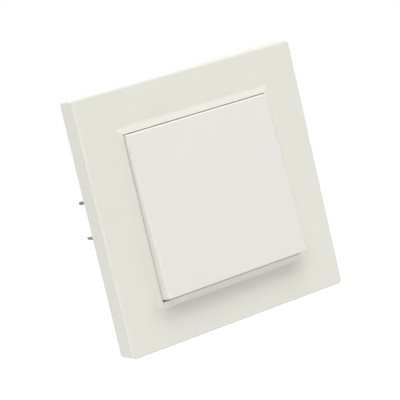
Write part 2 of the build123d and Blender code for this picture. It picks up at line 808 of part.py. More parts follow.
# The rocker rests with its top pressed in, and the blade leans the other way
pieces = {
    "cover_frame": cover_frame.part,
    "rocker": level_rocker.part.rotate(rocker_axis, -rocker_tilt),
    "rocker_carrier": level_carrier.part.rotate(rocker_axis, -rocker_tilt),
    "plunger": level_plunger.part.rotate(rocker_axis, -rocker_tilt),
    "plunger_spring": level_spring.part.rotate(rocker_axis, -rocker_tilt),
    "mechanism_cover": mechanism_cover.part,
    "base": base.part,
    "support_ring": support_ring.part,
    "rivets": rivets.part,
    "contact_blade": level_blade.part.rotate(blade_axis, blade_tilt),
    "moving_contacts": level_moving_contacts.part.rotate(blade_axis, blade_tilt),
    "fixed_contacts": fixed_contacts.part,
    "common_busbar": common_busbar.part,
    "traveller_busbar_1": traveller_busbar_1.part,
    "traveller_busbar_2": traveller_busbar_2.part,
    "common_clamp_spring": build_clamp_spring("common").part,
    "traveller_clamp_spring_1": build_clamp_spring("traveller_1").part,
    "traveller_clamp_spring_2": build_clamp_spring("traveller_2").part,
    "common_release_lever": build_release_lever("common").part,
    "traveller_release_lever_1": build_release_lever("traveller_1").part,
    "traveller_release_lever_2": build_release_lever("traveller_2").part,
    "left_claw": build_claw(-1).part,
    "right_claw": build_claw(1).part,
    "left_claw_screw": build_claw_screw(-1).part,
    "right_claw_screw": build_claw_screw(1).part,
    "left_claw_nut": build_claw_nut(-1).part,
    "right_claw_nut": build_claw_nut(1).part,
}
os.makedirs("parts", exist_ok=True)
for name, piece in pieces.items():
    piece.label = name
    export_step(piece, f"parts/{name}.step")
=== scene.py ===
# %% [markdown]
# A two-way light switch for a wall box
#
# The real object is a square cover frame clipped over a steel ring, a large rocker that tilts
# in it, and a moulded insert behind the wall with three wire terminals and two spreader claws.
# The solids already have their true sizes, so this lesson loads them as a fixed frame and
# spends its effort on light, finishes and the small turned, rolled and pressed parts.
# The frame's origin is in the plane of the wall: -Y looks into the room and +Z is up.

# %% Load the solids and keep their box
import math

import bmesh
import bpy
from mathutils import Matrix, Quaternion, Vector


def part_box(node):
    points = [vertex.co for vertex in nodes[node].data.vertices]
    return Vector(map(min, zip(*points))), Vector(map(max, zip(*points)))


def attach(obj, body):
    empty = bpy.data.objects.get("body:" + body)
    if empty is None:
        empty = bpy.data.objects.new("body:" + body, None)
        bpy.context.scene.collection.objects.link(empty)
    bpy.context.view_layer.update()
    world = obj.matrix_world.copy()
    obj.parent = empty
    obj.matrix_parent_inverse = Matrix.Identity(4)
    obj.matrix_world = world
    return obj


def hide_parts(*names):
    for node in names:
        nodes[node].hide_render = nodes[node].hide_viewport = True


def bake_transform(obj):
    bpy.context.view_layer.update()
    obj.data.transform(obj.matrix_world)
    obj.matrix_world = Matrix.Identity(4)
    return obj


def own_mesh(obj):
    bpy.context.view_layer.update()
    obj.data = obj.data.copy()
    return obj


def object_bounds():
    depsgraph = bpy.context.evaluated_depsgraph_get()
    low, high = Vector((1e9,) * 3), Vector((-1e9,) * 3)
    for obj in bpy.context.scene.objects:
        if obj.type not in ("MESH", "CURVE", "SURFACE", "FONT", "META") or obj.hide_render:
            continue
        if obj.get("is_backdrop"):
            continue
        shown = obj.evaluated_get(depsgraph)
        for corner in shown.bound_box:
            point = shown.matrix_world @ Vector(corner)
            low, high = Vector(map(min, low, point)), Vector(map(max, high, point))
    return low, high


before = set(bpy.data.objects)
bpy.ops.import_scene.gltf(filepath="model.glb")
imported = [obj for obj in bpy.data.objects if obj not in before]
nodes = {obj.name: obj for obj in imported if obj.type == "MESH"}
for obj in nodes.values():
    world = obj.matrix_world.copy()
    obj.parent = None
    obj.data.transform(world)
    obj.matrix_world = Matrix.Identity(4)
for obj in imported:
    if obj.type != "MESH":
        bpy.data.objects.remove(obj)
cad_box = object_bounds()
MM = 0.001
print(len(nodes), "solids, box in mm:", [round(v / MM, 1) for v in cad_box[1] - cad_box[0]])

# %% [markdown]
# Camera
#
# The photograph was taken from the left and a little above, with the switch leaning over.
# Aiming at a point on the rocker from a given azimuth, elevation and distance is easier to
# read than a matrix, and a roll about the viewing axis then leans the picture. The long lens
# keeps the two sides of the frame nearly parallel, as they are in the photograph.

# %% Place the camera
AIM = Vector((-3.447, -5.0, -0.336)) * MM
AZIMUTH, ELEVATION, ROLL = -30.782, 8.579, -13.157
DISTANCE = 556.56 * MM
LENS, SENSOR = 163.103, 36.0


def direction(azimuth, elevation):
    """Unit vector towards an azimuth, counted from straight into the room, and an elevation."""
    turn, rise = math.radians(azimuth), math.radians(elevation)
    return Vector((
        math.sin(turn) * math.cos(rise),
        -math.cos(turn) * math.cos(rise),
        math.sin(rise),
    ))


camera_data = bpy.data.cameras.new("photo_camera")
camera_data.lens, camera_data.sensor_width = LENS, SENSOR
camera = bpy.data.objects.new("photo_camera", camera_data)
outward = direction(AZIMUTH, ELEVATION)
camera.location = AIM + outward * DISTANCE
camera.rotation_mode = "QUATERNION"
lean = Quaternion((0, 0, 1), math.radians(ROLL))
camera.rotation_quaternion = (-outward).to_track_quat("-Z", "Y") @ lean
bpy.context.scene.collection.objects.link(camera)
bpy.context.scene.camera = camera
print("camera at", [round(v / MM, 1) for v in camera.location], "mm")

# %% [markdown]
# A short way to write shader nodes
#
# Every finish below is a small tree of shader nodes. Two helpers keep those trees readable:
# one adds a node and sets its properties, the other joins an output to an input.

# %% Node helpers
def add(tree, kind, **settings):
    """New shader node of a kind, with its properties set."""
    node = tree.nodes.new("ShaderNode" + kind)
    for key, value in settings.items():
        setattr(node, key, value)
    return node


def join(tree, source, target):
    """Link from an output socket to an input socket."""
    tree.links.new(source, target)


def new_material(name):
    """Material with a shader node tree, the tree and its main shader."""
    material = bpy.data.materials.new(name)
    material.use_nodes = True
    return material, material.node_tree, material.node_tree.nodes["Principled BSDF"]


print("helpers for shader nodes are ready")

# %% [markdown]
# Floor and background
#
# The photograph shows plain white all round and no shadow, as if the switch hung in front of
# paper. A pale floor far below gives the soft light that comes back up from a table, and it
# keeps a faint shadow. Rays from the camera, and mirror or glass rays, see white, so the
# background needs no extra lamp on the object.

# %% Build the floor and the white surround
FLOOR_DROP, FLOOR_SIZE = 2.3, 30.0
FLOOR_COLOUR, FLOOR_ROUGHNESS = (0.86, 0.86, 0.85, 1.0), 0.9
FLOOR_GLOW = 0.8
SURROUND_LIGHT = 0.29
WHITE = (1.0, 1.0, 1.0, 1.0)


def sees_background(tree):
    """One for a ray from the camera, off a mirror or through glass, and zero for the rest."""
    path = add(tree, "LightPath")
    total = path.outputs["Is Camera Ray"]
    for name in ("Is Glossy Ray", "Is Transmission Ray"):
        either = add(tree, "Math", operation="MAXIMUM")
        join(tree, total, either.inputs[0])
        join(tree, path.outputs[name], either.inputs[1])
        total = either.outputs[0]
    return total


grid = bmesh.new()
bmesh.ops.create_grid(grid, x_segments=1, y_segments=1, size=FLOOR_SIZE / 2)
bmesh.ops.translate(grid, verts=grid.verts, vec=(0, 0, -FLOOR_DROP))
floor_mesh = bpy.data.meshes.new("floor")
grid.to_mesh(floor_mesh)
grid.free()
floor = bpy.data.objects.new("floor", floor_mesh)
bpy.context.scene.collection.objects.link(floor)
floor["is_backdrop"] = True

paper, tree, shader = new_material("pale_floor")
shader.inputs["Base Color"].default_value = FLOOR_COLOUR
shader.inputs["Roughness"].default_value = FLOOR_ROUGHNESS
shader.inputs["Emission Color"].default_value = WHITE
glow = add(tree, "Math", operation="MULTIPLY")
glow.inputs[1].default_value = FLOOR_GLOW
join(tree, sees_background(tree), glow.inputs[0])
join(tree, glow.outputs[0], shader.inputs["Emission Strength"])
floor_mesh.materials.append(paper)

world = bpy.data.worlds.new("white_surround")
bpy.context.scene.world = world
world.use_nodes = True
tree = world.node_tree
tree.nodes.clear()
soft, white = (add(tree, "Background") for _ in range(2))
for background, strength in ((soft, SURROUND_LIGHT), (white, 1.0)):
    background.inputs["Color"].default_value = WHITE
    background.inputs["Strength"].default_value = strength
mix = add(tree, "MixShader")
out = add(tree, "OutputWorld")
join(tree, sees_background(tree), mix.inputs["Fac"])
join(tree, soft.outputs[0], mix.inputs[1])
join(tree, white.outputs[0], mix.inputs[2])
join(tree, mix.outputs[0], out.inputs["Surface"])
bpy.context.scene.view_settings.view_transform = "Standard"
print("floor", FLOOR_DROP, "m below the switch, surround at", SURROUND_LIGHT)

# %% [markdown]
# Light
#
# In the photograph the upper slope of the border is the brightest place, the frame is evenly
# lit at both sides, and a soft shadow lies under the rocker's lower edge. One softbox overhead
# and two in front, high to the left and right, do that together, and two low reflectors keep the
# shadow from closing up. The frame's left side wall is as bright as its face while the rocker's
# left side is not, so that light comes level with the wall or from behind it, where the frame
# hides it from the rocker. Two lamps behind the wall light the insert and the frame's right
# side, for views from there. All lamps stand 2.5 m away, so that the top and the bottom of the
# frame are lit alike. Each one is given by its azimuth, its elevation and its power.

# %% Hang the lamps
LAMP_REACH, LAMP_SIZE = 2.5, 1.1
LAMPS = {
    "overhead_softbox": (0, 63, 23.6),
    "upper_left_softbox": (-42, 41, 16.8),
    "upper_right_softbox": (44, 44, 15.6),
    "left_reflector": (-90, -20, 11.4),
    "rear_left_reflector": (-105, -10, 12.8),
    "low_front_reflector": (0, -45, 11.8),
    "low_right_reflector": (70, -45, 8.6),
    "back_softbox": (165, 12, 26.0),
    "back_right_softbox": (115, 5, 13.5),
}

for name, (azimuth, elevation, power) in LAMPS.items():
    lamp_data = bpy.data.lights.new(name, "AREA")
    lamp_data.shape, lamp_data.size, lamp_data.energy = "SQUARE", LAMP_SIZE, power
    lamp = bpy.data.objects.new(name, lamp_data)
    lamp.location = direction(azimuth, elevation) * LAMP_REACH
    lamp.rotation_mode = "QUATERNION"
    lamp.rotation_quaternion = (-lamp.location).to_track_quat("-Z", "Y")
    lamp.visible_camera = False
    bpy.context.scene.collection.objects.link(lamp)
print("lamps in watts:", {name: power for name, (_, _, power) in LAMPS.items()})

# %% [markdown]
# Effects that several finishes share
#
# Moulded plastic, rolled sheet and drawn wire differ in colour, but they vary in the same few
# ways: clouds in the tone, a fine grain or streaks left by the tool, and edges that are never
# quite sharp. Each effect is a node group with named sockets, built once and placed in every
# material with its own values. All of them read Object coordinates, in metres, so that a
# pattern keeps its true scale and stays on its piece when the piece moves.

# %% Start a node group
def new_group(name, inputs, outputs):
    """Node group with named sockets, its input end and its output end."""
    group = bpy.data.node_groups.new(name, "ShaderNodeTree")
    for socket, kind, value in inputs:
        made = group.interface.new_socket(socket, in_out="INPUT", socket_type=kind)
        made.default_value = value
    for socket, kind in outputs:
        group.interface.new_socket(socket, in_out="OUTPUT", socket_type=kind)
    return group, group.nodes.new("NodeGroupInput"), group.nodes.new("NodeGroupOutput")


NUMBER, VECTOR = "NodeSocketFloat", "NodeSocketVector"


def stretched_noise(tree, place, scale, detail, low, high):
    """Noise spread over nought to one between two of its levels; scale is a number or a socket."""
    noise = add(tree, "TexNoise")
    noise.inputs["Detail"].default_value = detail
    spread = add(tree, "MapRange")
    spread.inputs["From Min"].default_value = low
    spread.inputs["From Max"].default_value = high
    join(tree, place, noise.inputs["Vector"])
    if isinstance(scale, float):
        noise.inputs["Scale"].default_value = scale
    else:
        join(tree, scale, noise.inputs["Scale"])
    join(tree, noise.outputs["Fac"], spread.inputs["Value"])
    return spread.outputs["Result"]


print("node groups can be started")

# %% Clouds and grain of a moulded surface
CLOUD_SCALE, GRAIN_SCALE = 60.0, 5000.0
SMUDGE_FINENESS = 3.7

moulded_grain, ends, outs = new_group(
    "moulded_grain",
    [("Cloud Scale", NUMBER, CLOUD_SCALE), ("Grain Scale", NUMBER, GRAIN_SCALE)],
    [("Cloud", NUMBER), ("Smudge", NUMBER), ("Grain", NUMBER)],
)
where = add(moulded_grain, "TexCoord").outputs["Object"]
cloud = stretched_noise(
    moulded_grain, where, ends.outputs["Cloud Scale"], detail=3.0, low=0.35, high=0.65
)
grain = stretched_noise(
    moulded_grain, where, ends.outputs["Grain Scale"], detail=2.0, low=0.3, high=0.7
)
finer = add(moulded_grain, "Math", operation="MULTIPLY")
finer.inputs[1].default_value = SMUDGE_FINENESS
join(moulded_grain, ends.outputs["Cloud Scale"], finer.inputs[0])
smudge = stretched_noise(moulded_grain, where, finer.outputs[0], detail=4.0, low=0.42, high=0.7)
for source, name in ((cloud, "Cloud"), (smudge, "Smudge"), (grain, "Grain")):
    join(moulded_grain, source, outs.inputs[name])
print("group", moulded_grain.name, "has", len(moulded_grain.nodes), "nodes")

# %% Streaks and patches of rolled or drawn metal
rolled_metal, ends, outs = new_group(
    "rolled_metal",
    [("Stretch", VECTOR, (40.0, 40.0, 2500.0)), ("Patch Scale", NUMBER, 150.0)],
    [("Streak", NUMBER), ("Patch", NUMBER)],
)
where = add(rolled_metal, "TexCoord").outputs["Object"]
stretch = add(rolled_metal, "Mapping", vector_type="POINT")
join(rolled_metal, where, stretch.inputs["Vector"])
join(rolled_metal, ends.outputs["Stretch"], stretch.inputs["Scale"])
streak = stretched_noise(
    rolled_metal, stretch.outputs["Vector"], scale=1.0, detail=3.0, low=0.3, high=0.7
)
patch = stretched_noise(
    rolled_metal, where, ends.outputs["Patch Scale"], detail=5.0, low=0.38, high=0.62
)
join(rolled_metal, streak, outs.inputs["Streak"])
join(rolled_metal, patch, outs.inputs["Patch"])
print("group", rolled_metal.name, "has", len(rolled_metal.nodes), "nodes")

# %% Soft edges and where they are
EDGE_SAMPLES = 6
FLAT_COSINE, WORN_COSINE = 0.99, 0.8

soft_edges, ends, outs = new_group(
    "soft_edges",
    [("Radius", NUMBER, 0.2 * MM)],
    [("Normal", VECTOR), ("Edge", NUMBER)],
)
rounded = add(soft_edges, "Bevel", samples=EDGE_SAMPLES)
flat = add(soft_edges, "NewGeometry")
along = add(soft_edges, "VectorMath", operation="DOT_PRODUCT")
worn = add(soft_edges, "MapRange")
worn.inputs["From Min"].default_value = FLAT_COSINE
worn.inputs["From Max"].default_value = WORN_COSINE
join(soft_edges, ends.outputs["Radius"], rounded.inputs["Radius"])
join(soft_edges, rounded.outputs["Normal"], along.inputs[0])
join(soft_edges, flat.outputs["Normal"], along.inputs[1])
join(soft_edges, along.outputs["Value"], worn.inputs["Value"])
join(soft_edges, rounded.outputs["Normal"], outs.inputs["Normal"])
join(soft_edges, worn.outputs["Result"], outs.inputs["Edge"])
print("group", soft_edges.name, "has", len(soft_edges.nodes), "nodes")

# %% [markdown]
# Moulded plastics
#
# The frame and the rocker are injection moulded in a warm white, the insert's cover in light
# grey, and its base in an off-white thermoset that carries the current-bearing parts. Moulded
# plastic could be one flat colour with some gloss, but real mouldings show faint clouds in the
# tone, uneven gloss where they are handled, and a fine spark-eroded grain. One function takes
# the two close colours, the range of gloss and the depth of the grain.

# %% A function for moulded finishes
MASK, FIRST, SECOND, MIXED = 0, 6, 7, 2


def mixed(tree, factor, first, second):
    """Colour between two, by a mask. A Mix node's colour sockets are found by their numbers."""
    blend = add(tree, "Mix", data_type="RGBA")
    blend.inputs[FIRST].default_value = (*first, 1)
    blend.inputs[SECOND].default_value = (*second, 1)
    join(tree, factor, blend.inputs[MASK])
    return blend.outputs[MIXED]


def ranged(tree, factor, low, high):
    """Number between two, by a mask."""
    span = add(tree, "MapRange")
    span.inputs["To Min"].default_value, span.inputs["To Max"].default_value = low, high
    join(tree, factor, span.inputs["Value"])
    return span.outputs["Result"]


def moulded(name, colours, gloss, grain_depth, edge_radius, cloud_scale=CLOUD_SCALE):
    """Moulded plastic: colours and gloss are pairs, depths and radii are in millimetres."""
    material, tree, shader = new_material(name)
    texture = add(tree, "Group", node_tree=moulded_grain)
    texture.inputs["Cloud Scale"].default_value = cloud_scale
    texture.inputs["Grain Scale"].default_value = GRAIN_SCALE
    edges = add(tree, "Group", node_tree=soft_edges)
    edges.inputs["Radius"].default_value = edge_radius * MM
    bump = add(tree, "Bump")
    bump.inputs["Distance"].default_value = grain_depth * MM
    join(tree, texture.outputs["Grain"], bump.inputs["Height"])
    join(tree, edges.outputs["Normal"], bump.inputs["Normal"])
    join(tree, mixed(tree, texture.outputs["Cloud"], *colours), shader.inputs["Base Color"])
    join(tree, ranged(tree, texture.outputs["Smudge"], *gloss), shader.inputs["Roughness"])
    join(tree, bump.outputs["Normal"], shader.inputs["Normal"])
    return material


print("moulded finishes can be mixed")

# %% Warm white frame and rocker, and the plastics of the insert
PLASTICS = {
    "ivory_frame": dict(
        colours=[(0.814, 0.808, 0.740), (0.802, 0.796, 0.726)],
        gloss=(0.36, 0.46), grain_depth=0.004, edge_radius=0.2,
    ),
    "ivory_rocker": dict(
        colours=[(0.826, 0.815, 0.771), (0.815, 0.804, 0.758)],
        gloss=(0.32, 0.44), grain_depth=0.003, edge_radius=0.1,
    ),
    "grey_mechanism": dict(
        colours=[(0.49, 0.49, 0.47), (0.44, 0.44, 0.425)],
        gloss=(0.45, 0.6), grain_depth=0.01, edge_radius=0.2, cloud_scale=90.0,
    ),
    "thermoset_base": dict(
        colours=[(0.66, 0.655, 0.62), (0.59, 0.585, 0.545)],
        gloss=(0.5, 0.68), grain_depth=0.014, edge_radius=0.22, cloud_scale=110.0,
    ),
    "orange_lever": dict(
        colours=[(0.66, 0.16, 0.018), (0.58, 0.128, 0.014)],
        gloss=(0.4, 0.55), grain_depth=0.008, edge_radius=0.15, cloud_scale=220.0,
    ),
}
FINISHES = {name: moulded(name, **look) for name, look in PLASTICS.items()}
print("plastics:", sorted(PLASTICS))

# %% [markdown]
# Metals
#
# The ring is stamped from zinc-plated strip, so it has rolling streaks and a cloudy bluish
# plating that wears bright along its edges. The claws are coloured a darker steel, the screws
# and rivets are plated, the springs are bright drawn or rolled steel, and the current runs
# through brass with silver contacts. A metal that mirrors only white would look like paint, so
# streaks and patches vary its tone, the patches vary its gloss too, and its edges are brighter.

# %% A function for metals
PATCH_SHARE, STREAK_SHARE = 0.5, 0.5


def metal(name, colours, worn, gloss, stretch, patch_scale, streak_depth, edge_radius):
    """Metal with streaks, cloudy patches and bright edges; lengths in millimetres."""
    material, tree, shader = new_material(name)
    texture = add(tree, "Group", node_tree=rolled_metal)
    texture.inputs["Stretch"].default_value = stretch
    texture.inputs["Patch Scale"].default_value = patch_scale
    edges = add(tree, "Group", node_tree=soft_edges)
    edges.inputs["Radius"].default_value = edge_radius * MM
    both = add(tree, "Math", operation="MULTIPLY_ADD")
    both.inputs[1].default_value = PATCH_SHARE
    streaks = add(tree, "Math", operation="MULTIPLY")
    streaks.inputs[1].default_value = STREAK_SHARE
    join(tree, texture.outputs["Streak"], streaks.inputs[0])
    join(tree, texture.outputs["Patch"], both.inputs[0])
    join(tree, streaks.outputs[0], both.inputs[2])
    tone = mixed(tree, both.outputs[0], *colours)
    rubbed = add(tree, "Mix", data_type="RGBA")
    rubbed.inputs[SECOND].default_value = (*worn, 1)
    join(tree, edges.outputs["Edge"], rubbed.inputs[MASK])
    join(tree, tone, rubbed.inputs[FIRST])
    bump = add(tree, "Bump")
    bump.inputs["Distance"].default_value = streak_depth * MM
    join(tree, texture.outputs["Streak"], bump.inputs["Height"])
    join(tree, edges.outputs["Normal"], bump.inputs["Normal"])
    shader.inputs["Metallic"].default_value = 1.0
    join(tree, rubbed.outputs[MIXED], shader.inputs["Base Color"])
    join(tree, ranged(tree, texture.outputs["Patch"], *gloss), shader.inputs["Roughness"])
    join(tree, bump.outputs["Normal"], shader.inputs["Normal"])
    return material


print("metals can be mixed")

# %% Zinc, darker claw steel, plating, spring steel, brass and silver
ALONG_X, ALONG_Y = (60.0, 1800.0, 1800.0), (1800.0, 60.0, 1800.0)
ALONG_Z = (1800.0, 1800.0, 60.0)
METALS = {
    "zinc_sheet": dict(
        colours=[(0.55, 0.56, 0.575), (0.37, 0.38, 0.395)], worn=(0.68, 0.68, 0.68),
        gloss=(0.4, 0.6), stretch=ALONG_X, patch_scale=140.0,
        streak_depth=0.006, edge_radius=0.2,
    ),
    "dark_claw": dict(
        colours=[(0.19, 0.19, 0.20), (0.10, 0.10, 0.105)], worn=(0.27, 0.27, 0.27),
        gloss=(0.38, 0.6), stretch=ALONG_Y, patch_scale=420.0,
        streak_depth=0.006, edge_radius=0.12,
    ),
    "plated_screw": dict(
        colours=[(0.62, 0.615, 0.58), (0.45, 0.445, 0.41)], worn=(0.74, 0.73, 0.70),
        gloss=(0.22, 0.42), stretch=ALONG_Z, patch_scale=400.0,
        streak_depth=0.003, edge_radius=0.06,
    ),
    "bright_spring": dict(
        colours=[(0.58, 0.59, 0.61), (0.42, 0.43, 0.45)], worn=(0.70, 0.70, 0.71),
        gloss=(0.2, 0.38), stretch=ALONG_Z, patch_scale=300.0,
        streak_depth=0.003, edge_radius=0.06,
    ),
    "rolled_brass": dict(
        colours=[(0.72, 0.50, 0.19), (0.50, 0.32, 0.11)], worn=(0.83, 0.64, 0.30),
        gloss=(0.25, 0.46), stretch=ALONG_X, patch_scale=180.0,
        streak_depth=0.005, edge_radius=0.1,
    ),
    "contact_silver": dict(
        colours=[(0.80, 0.79, 0.765), (0.56, 0.545, 0.51)], worn=(0.86, 0.85, 0.83),
        gloss=(0.18, 0.4), stretch=ALONG_Z, patch_scale=600.0,
        streak_depth=0.003, edge_radius=0.08,
    ),
}
FINISHES |= {name: metal(name, **look) for name, look in METALS.items()}
print("metals:", sorted(METALS))

# %% [markdown]
# Dressing the solids
#
# A solid that keeps its own shape only needs a finish. Assigning it to the mesh's material slot
# is enough, because the patterns read Object coordinates and no solid is moved. A solid that a
# new piece stands for gets one as well, so that none is left bare.

# %% Give every solid its finish
LEVERS = [name for name in nodes if name.endswith("lever") or "_lever_" in name]
CLAMP_SPRINGS = [name for name in nodes if "clamp_spring" in name]
BUSBARS = [name for name in nodes if "busbar" in name]
SOLID_FINISH = {
    "ivory_frame": ["cover_frame"],
    "ivory_rocker": ["rocker"],
    "grey_mechanism": ["rocker_carrier", "plunger", "mechanism_cover"],
    "thermoset_base": ["base"],
    "orange_lever": LEVERS,
    "zinc_sheet": ["support_ring"],
    "dark_claw": ["left_claw", "right_claw"],
    "plated_screw": [
        "left_claw_screw", "right_claw_screw", "left_claw_nut", "right_claw_nut", "rivets",
    ],
    "bright_spring": ["plunger_spring"] + CLAMP_SPRINGS,
    "rolled_brass": ["contact_blade"] + BUSBARS,
    "contact_silver": ["moving_contacts", "fixed_contacts"],
}
for finish, solids in SOLID_FINISH.items():
    for solid in solids:
        nodes[solid].data.materials.clear()
        nodes[solid].data.materials.append(FINISHES[finish])
dressed = sorted(solid for solids in SOLID_FINISH.values() for solid in solids)
print(len(dressed), "of", len(nodes), "solids dressed:", dressed == sorted(nodes))

# %% [markdown]
# Turning a bmesh into a piece
#
# The small hardware is modelled in local coordinates with its axis along Z, because lathe work
# is easiest to think of that way. At the end the mesh is laid down so that its height runs out
# of the wall. Its doubles are welded, its faces are made to look outwards, and edges sharper
# than an angle stay sharp while the rest is smooth.

# %% Helpers for lathe work and for finished pieces
WELD = 0.002 * MM
SHARP = math.radians(38)
LAID_OUT = Matrix.Rotation(math.radians(90), 4, "X")
LATHE_STEPS = 48


def welded(bm):
    """Merges doubled vertices and turns all faces outwards."""
    bmesh.ops.remove_doubles(bm, verts=bm.verts, dist=WELD)
    bmesh.ops.recalc_face_normals(bm, faces=bm.faces)


def piece_from(bm, name, finish, body, slot, *replaced):
    """Piece made from a bmesh, that stands for solids and rides on a body where one is given."""
    for edge in bm.edges:
        edge.smooth &= edge.calc_face_angle(math.pi) < SHARP
    mesh = bpy.data.meshes.new(name)
    bm.to_mesh(mesh)
    bm.free()
    if "custom_normal" in mesh.attributes:
        mesh.attributes.remove(mesh.attributes["custom_normal"])
    mesh.materials.append(FINISHES[finish])
    mesh.polygons.foreach_set("use_smooth", [True] * len(mesh.polygons))
    piece = bpy.data.objects.new(name, mesh)
    piece.modifiers.new("even_shading", "WEIGHTED_NORMAL").keep_sharp = True
    bpy.context.scene.collection.objects.link(piece)
    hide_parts(*replaced)
    if body:
        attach(piece, body)
    print(name, "has", len(mesh.polygons), "faces")
    return piece


def lathe(bm, profile, closed=False, steps=LATHE_STEPS):
    """Spins (radius, height) points, in millimetres, all the way round Z."""
    points = [bm.verts.new(Vector((radius, 0, height)) * MM) for radius, height in profile]
    ring = points + points[:1] if closed else points
    lines = [bm.edges.new(pair) for pair in zip(ring, ring[1:])]
    bmesh.ops.spin(
        bm, geom=points + lines, cent=(0, 0, 0), axis=(0, 0, 1),
        angle=math.tau, steps=steps, use_merge=True,
    )


def each_once(items):
    """List of items in the order in which they are first met, so that every run is alike."""
    return list(dict.fromkeys(items))


def open_edges(bm, height=None):
    """Edges with a single face or none, at a height in millimetres where one is given."""
    found = [edge for edge in bm.edges if len(edge.link_faces) < 2]
    if height is None:
        return found
    level = height * MM
    return [edge for edge in found if all(abs(v.co.z - level) < WELD for v in edge.verts)]


print("helpers for lathe work are ready")

# %% [markdown]
# Cover frame
#
# The frame is one moulding: a plate with a low border that slopes up to the opening. Its solid
# has a sharp line where the slopes meet the plate, but a mould is never cut that sharp, and the
# photograph shows the slope run out softly. A merged copy of the solid, with its flat regions
# joined into single faces, takes a real bevel along that inner line, which fills it with a
# hollow rounding.

# %% Soften the foot of the frame's border
NEARLY_FLAT = math.radians(0.5)
NEAR = 0.01 * MM
FACE_FRONT, FOOT_HALF = 7.5, 28.25
FOOT_ROUNDING, FOOT_SEGMENTS = 0.35, 5
ROUND_SEGMENTS = 3


def merged_copy(solid):
    """Bmesh of a solid with its doubles welded and its flat regions joined."""
    bm = bmesh.new()
    bm.from_mesh(nodes[solid].data)
    welded(bm)
    bmesh.ops.dissolve_limit(bm, angle_limit=NEARLY_FLAT, verts=bm.verts, edges=bm.edges)
    for edge in bm.edges:
        edge.smooth = True
    return bm


def round_off(bm, edges, width, segments=ROUND_SEGMENTS):
    """Rounds edges by that many millimetres to each side."""
    bmesh.ops.bevel(
        bm, geom=edges, offset=width * MM, offset_type="OFFSET", affect="EDGES",
        segments=segments, profile=0.5, material=-1, clamp_overlap=True,
    )
    welded(bm)


def on_foot(vert):
    """True for a corner of the square where the border's slopes meet the plate."""
    reach = max(abs(vert.co.x), abs(vert.co.z))
    return abs(vert.co.y + FACE_FRONT * MM) < NEAR and abs(reach - FOOT_HALF * MM) < NEAR


def on_diagonal(vert):
    """True for a point on the mitre where two slopes of the border meet."""
    return abs(abs(vert.co.x) - abs(vert.co.z)) < NEAR


cover = merged_copy("cover_frame")
foot = [edge for edge in cover.edges if all(on_foot(vert) for vert in edge.verts)]
round_off(cover, foot, FOOT_ROUNDING, FOOT_SEGMENTS)
mitres = [edge for edge in cover.edges if all(on_diagonal(vert) for vert in edge.verts)]
for edge in mitres:
    edge.smooth = False
print(len(foot), "foot lines rounded,", len(mitres), "mitre edges kept crisp")
piece_from(cover, "soft_frame", "ivory_frame", "housing", "ivory_plastic", "cover_frame")

# %% [markdown]
# Rocker
#
# The rocker is a thin cap with a skirt, clipped on the carrier. The solid keeps a generous gap
# and round corners so that it surely clears the frame at every tilt. On the real one the corners
# are nearly square and only a thin line shows all round. The copy is turned level, the points of
# each round corner are drawn out towards the square corner, and its sides and its low end are let
# out a little. The low end is also drafted, so that it fits closest at the back of the skirt,
# which swings least. The copy settles in by a few micrometres, to stay inside the solids' box.

# %% Square up the rocker
ROCKER_REST, PIVOT_FRONT = -3.85, 2.4
ROCKER_HALF, CORNER_RADIUS = (25.85, 25.45), 0.9
SQUARENESS = 0.75
SKIRT_FRONT, SKIRT_DEPTH = 11.1, 6.6
SIDE_LET_OUT, LOW_LET_OUT, END_DRAFT = 0.16, 0.1, 0.35
SETTLE = 0.007

pivot = Vector((0, -PIVOT_FRONT, 0)) * MM
lean_in = Matrix.Rotation(math.radians(ROCKER_REST), 4, "X")
REST_TILT = Matrix.Translation(pivot) @ lean_in @ Matrix.Translation(-pivot)

rocker = merged_copy("rocker")
bmesh.ops.transform(rocker, verts=rocker.verts, matrix=REST_TILT.inverted())
for vert in rocker.verts:
    over = Vector([abs(c) / MM - half + CORNER_RADIUS for c, half in zip(vert.co.xz, ROCKER_HALF)])
    if min(over) > 0:
        over *= 1 - SQUARENESS + SQUARENESS * over.length / max(over)
    draft = END_DRAFT * (SKIRT_FRONT + vert.co.y / MM) / SKIRT_DEPTH
    let_out = (SIDE_LET_OUT, LOW_LET_OUT + draft if vert.co.z < 0 else 0)
    for axis, past, half, extra in zip((0, 2), over, ROCKER_HALF, let_out):
        if past > 0:
            reach = half - CORNER_RADIUS + past + extra
            vert.co[axis] = math.copysign(reach * MM, vert.co[axis])
bmesh.ops.translate(rocker, verts=rocker.verts, vec=(0, SETTLE * MM, 0))
bmesh.ops.transform(rocker, verts=rocker.verts, matrix=REST_TILT)
welded(rocker)
piece_from(rocker, "square_rocker", "ivory_rocker", "rocker_unit", "ivory_plastic", "rocker")

# %% [markdown]
# Threads
#
# A screw thread is one profile carried round and forward at the same time. Spin with a rise per
# step does exactly that: the profile covers one pitch, so each turn ends where the next one
# starts and welding makes one skin. The ragged ends are then cut flat with two planes. The
# solids have a plain cylinder there, because a thread is too fine for them.

# %% A thread between two heights
THREAD_PITCH = 0.5
THREAD_STEPS = 24
CREST_HALF, ROOT_HALF = THREAD_PITCH / 16, THREAD_PITCH / 8
CUT_SNAP = WELD / 10


def cut_across(bm, height, way=1, clear_outer=False):
    """Cuts a bmesh at a height in millimetres and may clear what lies beyond the cut."""
    bmesh.ops.bisect_plane(
        bm, geom=bm.verts[:] + bm.edges[:] + bm.faces[:], dist=CUT_SNAP,
        plane_co=(0, 0, height * MM), plane_no=(0, 0, way), clear_outer=clear_outer,
    )


